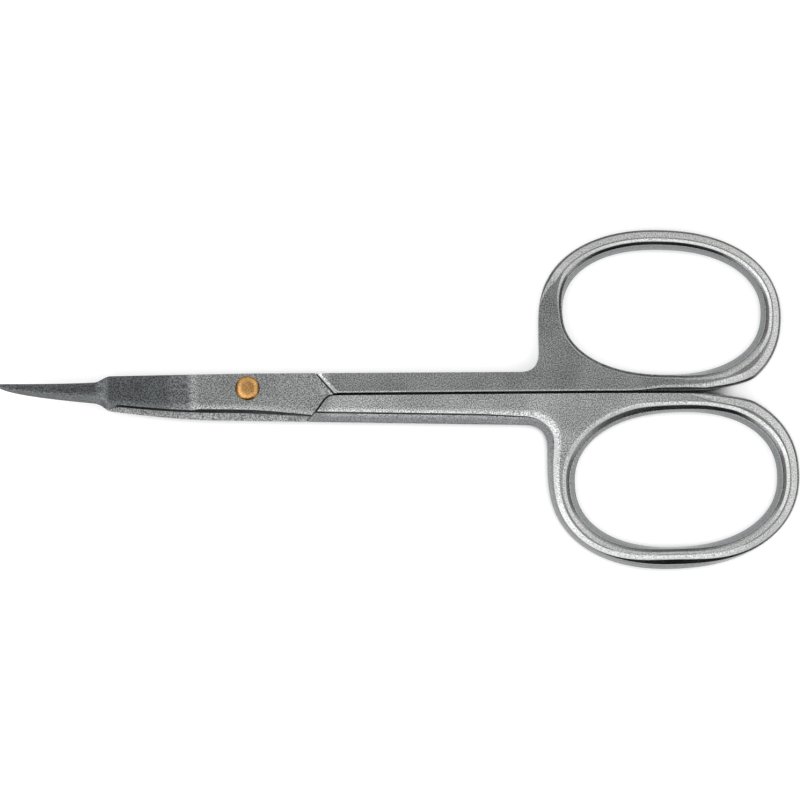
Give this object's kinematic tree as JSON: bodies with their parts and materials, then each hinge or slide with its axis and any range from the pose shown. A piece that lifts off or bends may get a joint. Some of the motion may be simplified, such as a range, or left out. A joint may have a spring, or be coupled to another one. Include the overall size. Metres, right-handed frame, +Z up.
{
  "type": "nail scissors",
  "caption": "Slim nail scissors in satin steel with upswept tower-point blades, straight shanks and oval finger rings, turning on a brass rivet.",
  "frame": {"origin": "middle of the closed scissors' footprint, on the surface that they lie on", "axes": "+X from the blade tips towards the finger rings, +Z up through the joint plates towards the rivet head"},
  "size_m": [0.0898, 0.0382, 0.0039],
  "materials": {
    "steel": "satin, with brighter rings and a finely ground blade",
    "brass": "polished, low domed head"
  },
  "bodies": {
    "back": {"back_half": "steel", "pivot_rivet": "brass"},
    "front": {"front_half": "steel"}
  },
  "joints": [
    {"name": "blade_pivot", "type": "hinge", "parent": "back", "child": "front", "pos_m": [-0.01705, 0.00125, 0.00145], "axis": [0, 0, -1], "range_deg": [0, 120]}
  ]
}
